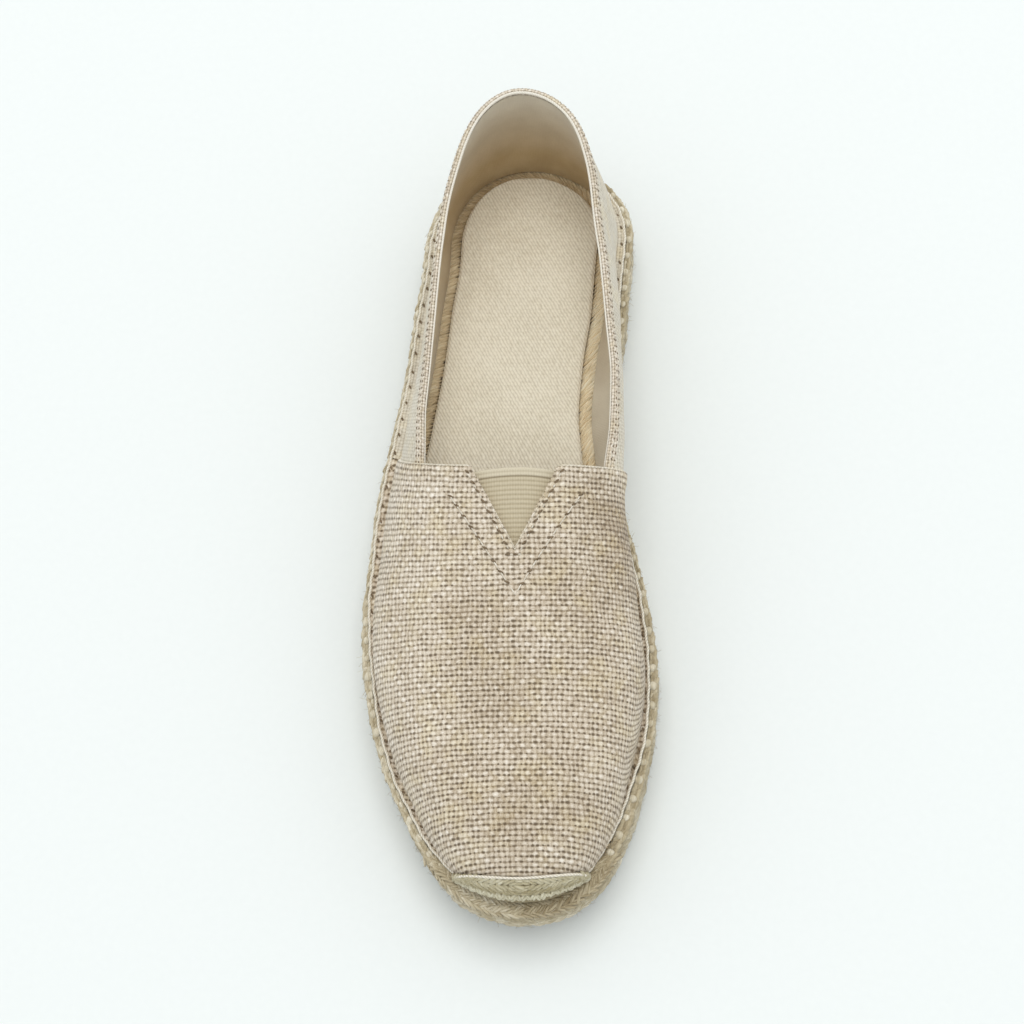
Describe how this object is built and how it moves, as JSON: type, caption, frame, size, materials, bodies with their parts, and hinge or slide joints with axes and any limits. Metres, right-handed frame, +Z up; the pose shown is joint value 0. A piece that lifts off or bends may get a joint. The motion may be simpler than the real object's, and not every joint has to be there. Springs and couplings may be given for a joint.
{
  "type": "espadrille",
  "caption": "Flat slip-on shoe with a plaited jute sole, a woven linen upper with an elastic V gore at the throat, and a jute toe guard.",
  "frame": {"origin": "middle of the bounding box on the floor, under the sole", "axes": "+Z up, the toe points to -Y, the heel to +Y, +X is the medial side"},
  "size_m": [0.0974, 0.2748, 0.0661],
  "materials": {
    "jute": "coarse plaited jute, dry and fibrous",
    "twill": "cream cotton twill, matte",
    "linen": "open plain weave of slubby natural linen, matte",
    "elastic": "ribbed elastic webbing, matte",
    "jute_plait": "fine jute plait, dry and fibrous"
  },
  "bodies": {
    "root": {"sole": "jute", "insole": "twill", "upper": "linen", "elastic_gore": "elastic", "toe_guard": "jute_plait"}
  },
  "joints": []
}
